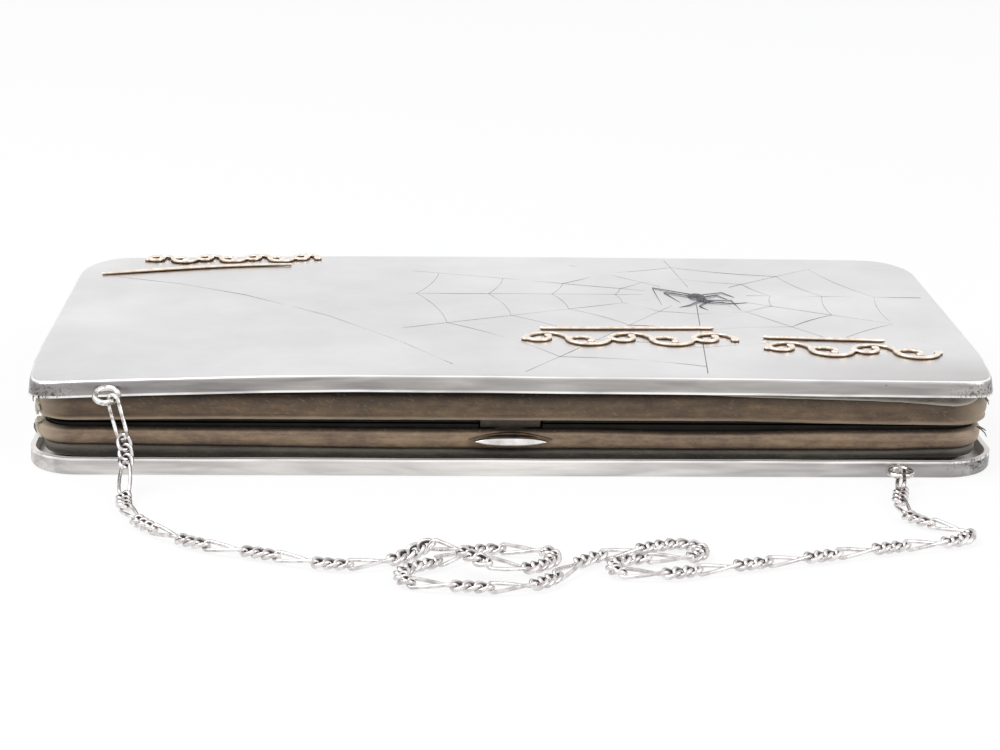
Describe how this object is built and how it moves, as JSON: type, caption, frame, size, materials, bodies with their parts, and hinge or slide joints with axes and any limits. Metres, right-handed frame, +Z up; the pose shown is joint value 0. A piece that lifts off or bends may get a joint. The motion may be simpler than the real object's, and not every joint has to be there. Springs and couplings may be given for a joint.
{
  "type": "cigarette case",
  "caption": "Flat hinged case with thin silver covers over leather trays, a front push button, gold ornament on the lid and a fine chain from cover to cover.",
  "frame": {"origin": "centre of the bottom cover's flat underside, on the table", "axes": "+X along the case to the viewer's right, +Y from the button at the front to the hinge at the rear, +Z up"},
  "size_m": [0.151, 0.1352, 0.0169],
  "materials": {
    "silver": "worn polished silver",
    "gold": "polished rose gold",
    "niello": "dark grey satin",
    "leather": "smooth, worn",
    "board": "matt",
    "lining": "ribbed silk",
    "spring_steel": "satin"
  },
  "bodies": {
    "base": {"bottom_cover": "silver", "lower_filler": "board", "lower_board": "leather", "lower_tray": "leather", "lower_lining": "lining", "lower_frame": "silver", "hinge_pin": "spring_steel", "elastic_band": "lining", "band_rivets": "silver", "button_plate": "silver", "spring_bridge": "spring_steel", "lower_eye": "silver", "lower_end_link": "silver", "chain": "silver"},
    "lid": {"top_cover": "silver", "upper_filler": "board", "upper_board": "leather", "upper_tray": "leather", "upper_lining": "lining", "upper_frame": "silver", "catch_tongue": "spring_steel", "upper_eye": "silver", "upper_end_link": "silver", "gold_scroll_left": "gold", "gold_plume_left": "gold", "gold_scroll_middle": "gold", "gold_bar_middle": "gold", "gold_scroll_right": "gold", "gold_bar_right": "gold", "spider": "niello"},
    "button": {"push_button": "silver", "latch_bar": "spring_steel", "latch_spring": "spring_steel"}
  },
  "joints": [
    {"name": "lid_hinge", "type": "hinge", "parent": "base", "child": "lid", "pos_m": [0, 0.0399, 0.00735], "axis": [-1, 0, 0], "range_deg": [0, 110]},
    {"name": "button_push", "type": "slide", "parent": "base", "child": "button", "axis": [0, 1, 0], "range_m": [0, 0.001], "stiffness_N_per_m": 300, "springref_m": -0.001, "deforming": ["latch_spring"]}
  ]
}
